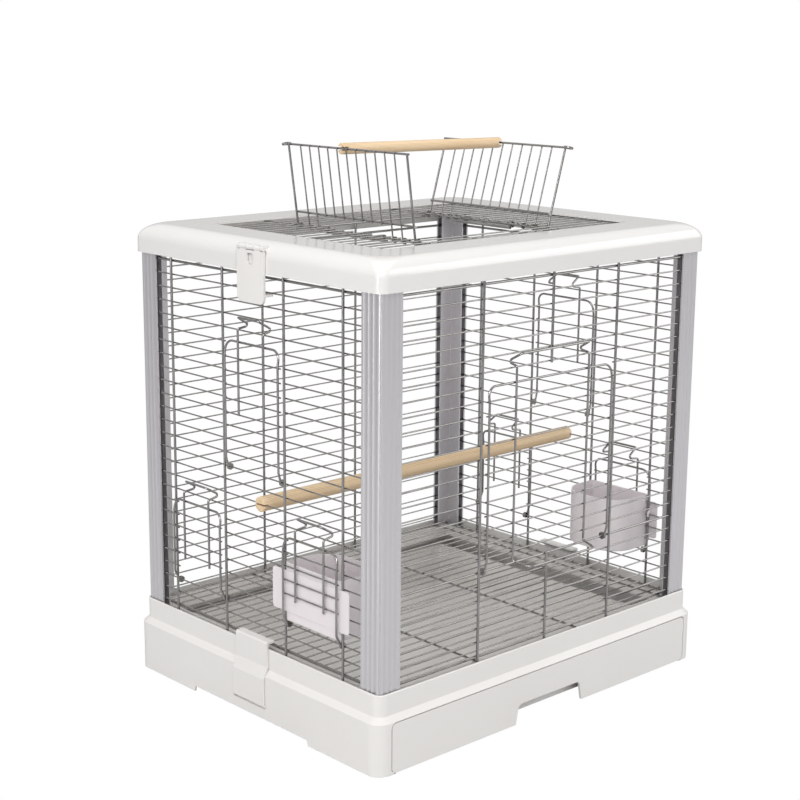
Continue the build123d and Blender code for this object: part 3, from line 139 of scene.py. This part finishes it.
# Shared effect: fine unevenness of a moulded or drawn surface, as masks and a small height
speckle = bpy.data.node_groups.new("surface_speckle", "ShaderNodeTree")
for socket_name, default in (("Fine Scale", 300.0), ("Broad Scale", 6.0)):
    socket = speckle.interface.new_socket(socket_name, in_out="INPUT", socket_type="NodeSocketFloat")
    socket.default_value = default
speckle.interface.new_socket("Stretch", in_out="INPUT", socket_type="NodeSocketVector")
for socket_name in ("Fine", "Broad"):
    speckle.interface.new_socket(socket_name, in_out="OUTPUT", socket_type="NodeSocketFloat")
nodes, links = speckle.nodes, speckle.links
group_in = nodes.new("NodeGroupInput")
group_out = nodes.new("NodeGroupOutput")
coordinates = nodes.new("ShaderNodeTexCoord")
stretched = nodes.new("ShaderNodeVectorMath")
stretched.operation = "MULTIPLY"
links.new(coordinates.outputs["Object"], stretched.inputs[0])
links.new(group_in.outputs["Stretch"], stretched.inputs[1])
for scale_name, detail, result in (("Fine Scale", 4.0, "Fine"), ("Broad Scale", 2.0, "Broad")):
    noise = nodes.new("ShaderNodeTexNoise")
    noise.inputs["Detail"].default_value = detail
    links.new(stretched.outputs["Vector"], noise.inputs["Vector"])
    links.new(group_in.outputs[scale_name], noise.inputs["Scale"])
    links.new(noise.outputs["Fac"], group_out.inputs[result])

# Shared finish: a plastic or metal with the speckle in its colour, roughness and relief
finishes = {}
coat_roughness = 0.08
relief_height = 0.001


def speckled_finish(name, light, dark, metallic, rough_low, rough_high, coat,
                    fine, broad, stretch, relief_strength, edge_radius):
    """A material between two colours and two roughnesses, with soft edges where a radius is given."""
    material = bpy.data.materials.new(name)
    material.use_nodes = True
    nodes, links = material.node_tree.nodes, material.node_tree.links
    surface = nodes["Principled BSDF"]
    surface.inputs["Metallic"].default_value = metallic
    surface.inputs["Coat Weight"].default_value = coat
    surface.inputs["Coat Roughness"].default_value = coat_roughness
    grain = nodes.new("ShaderNodeGroup")
    grain.node_tree = speckle
    grain.inputs["Fine Scale"].default_value = fine
    grain.inputs["Broad Scale"].default_value = broad
    grain.inputs["Stretch"].default_value = stretch
    colour = nodes.new("ShaderNodeMix")
    colour.data_type = "RGBA"
    colour.inputs["A"].default_value = (*dark, 1)
    colour.inputs["B"].default_value = (*light, 1)
    links.new(grain.outputs["Broad"], colour.inputs["Factor"])
    links.new(colour.outputs["Result"], surface.inputs["Base Color"])
    roughness = nodes.new("ShaderNodeMapRange")
    roughness.inputs["To Min"].default_value = rough_low
    roughness.inputs["To Max"].default_value = rough_high
    links.new(grain.outputs["Fine"], roughness.inputs["Value"])
    links.new(roughness.outputs["Result"], surface.inputs["Roughness"])
    relief = nodes.new("ShaderNodeBump")
    relief.inputs["Strength"].default_value = relief_strength
    relief.inputs["Distance"].default_value = relief_height
    links.new(grain.outputs["Fine"], relief.inputs["Height"])
    if edge_radius:
        soft_edge = nodes.new("ShaderNodeBevel")
        soft_edge.inputs["Radius"].default_value = edge_radius
        links.new(soft_edge.outputs["Normal"], relief.inputs["Normal"])
    links.new(relief.outputs["Normal"], surface.inputs["Normal"])
    finishes[name] = material


# Base, drawer, base clips and top clips: satin white moulded plastic with a fine grain, in one colour
# right through, its edges softened by the mould
speckled_finish(
    name="moulding",
    light=(0.800, 0.783, 0.760),
    dark=(0.755, 0.735, 0.708),
    metallic=0,
    rough_low=0.26,
    rough_high=0.40,
    coat=0.25,
    fine=420,
    broad=5,
    stretch=(1, 1, 1),
    relief_strength=0.030,
    edge_radius=0.0006,
)

# Roof frame: one ring of the same plastic from a polished mould, so it is glossier than the base
speckled_finish(
    name="roof_moulding",
    light=(0.785, 0.770, 0.750),
    dark=(0.750, 0.733, 0.712),
    metallic=0,
    rough_low=0.10,
    rough_high=0.20,
    coat=0.60,
    fine=160,
    broad=4,
    stretch=(1, 1, 1),
    relief_strength=0.016,
    edge_radius=0.0006,
)

# Feeding cups: thin white moulded plastic, a little pinker than the base, hung in the feeder openings
speckled_finish(
    name="cup",
    light=(0.800, 0.750, 0.765),
    dark=(0.765, 0.712, 0.728),
    metallic=0,
    rough_low=0.24,
    rough_high=0.36,
    coat=0.30,
    fine=420,
    broad=9,
    stretch=(1, 1, 1),
    relief_strength=0.028,
    edge_radius=0.0005,
)

# Corner posts: drawn aluminium with a brushed, pale lilac finish, its grain along the post
speckled_finish(
    name="post",
    light=(0.760, 0.745, 0.765),
    dark=(0.640, 0.625, 0.645),
    metallic=0.85,
    rough_low=0.24,
    rough_high=0.42,
    coat=0.0,
    fine=700,
    broad=9,
    stretch=(1, 1, 0.02),
    relief_strength=0.040,
    edge_radius=0.0003,
)

# Panels, roof wires, doors, catches, handle, flaps, keeper rods and floor grate: bright drawn steel
# wire, spot welded where it crosses
speckled_finish(
    name="wire",
    light=(0.460, 0.450, 0.440),
    dark=(0.230, 0.224, 0.218),
    metallic=1,
    rough_low=0.08,
    rough_high=0.20,
    coat=0.0,
    fine=900,
    broad=40,
    stretch=(1, 1, 1),
    relief_strength=0.020,
    edge_radius=0.0,
)

# Perches: pale straight-grained dowels, the grain along the dowel and rings on the sawn ends
dark_grain = (0.60, 0.405, 0.215, 1)
pale_grain = (0.82, 0.635, 0.415, 1)
fibre_scale = (6, 150, 150)
ring_scale = 190
ring_share = 0.30
wood_roughness = 0.52
grain_strength = 0.12
grain_height = 0.0006
wood = bpy.data.materials.new("wood")
wood.use_nodes = True
nodes, links = wood.node_tree.nodes, wood.node_tree.links
surface = nodes["Principled BSDF"]
coordinates = nodes.new("ShaderNodeTexCoord")
fibres = nodes.new("ShaderNodeMapping")
fibres.inputs["Scale"].default_value = fibre_scale
links.new(coordinates.outputs["Object"], fibres.inputs["Vector"])
streaks = nodes.new("ShaderNodeTexNoise")
streaks.inputs["Scale"].default_value = 1.0
streaks.inputs["Detail"].default_value = 6
streaks.inputs["Distortion"].default_value = 0.4
links.new(fibres.outputs["Vector"], streaks.inputs["Vector"])
bands = nodes.new("ShaderNodeTexWave")
bands.wave_type = "RINGS"
bands.rings_direction = "X"
bands.inputs["Scale"].default_value = ring_scale
bands.inputs["Distortion"].default_value = 3.0
bands.inputs["Detail"].default_value = 2
bands.inputs["Detail Scale"].default_value = 0.05
links.new(coordinates.outputs["Object"], bands.inputs["Vector"])
both = nodes.new("ShaderNodeMix")
both.inputs["Factor"].default_value = ring_share
links.new(streaks.outputs["Fac"], both.inputs["A"])
links.new(bands.outputs["Fac"], both.inputs["B"])
tint = nodes.new("ShaderNodeValToRGB")
tint.color_ramp.elements[0].position = 0.28
tint.color_ramp.elements[0].color = dark_grain
tint.color_ramp.elements[1].position = 0.62
tint.color_ramp.elements[1].color = pale_grain
links.new(both.outputs["Result"], tint.inputs["Fac"])
links.new(tint.outputs["Color"], surface.inputs["Base Color"])
surface.inputs["Roughness"].default_value = wood_roughness
relief = nodes.new("ShaderNodeBump")
relief.inputs["Strength"].default_value = grain_strength
relief.inputs["Distance"].default_value = grain_height
links.new(both.outputs["Result"], relief.inputs["Height"])
links.new(relief.outputs["Normal"], surface.inputs["Normal"])
finishes["wood"] = wood

# Every CAD node takes the finish of its slot in the record
for part in frame["record"]["subparts"]:
    shown = frame["nodes"][part["node"]]
    finish = finishes[part["material_slot"]]
    if not shown.material_slots:
        shown.data.materials.append(finish)
    for slot in shown.material_slots:
        slot.material = finish
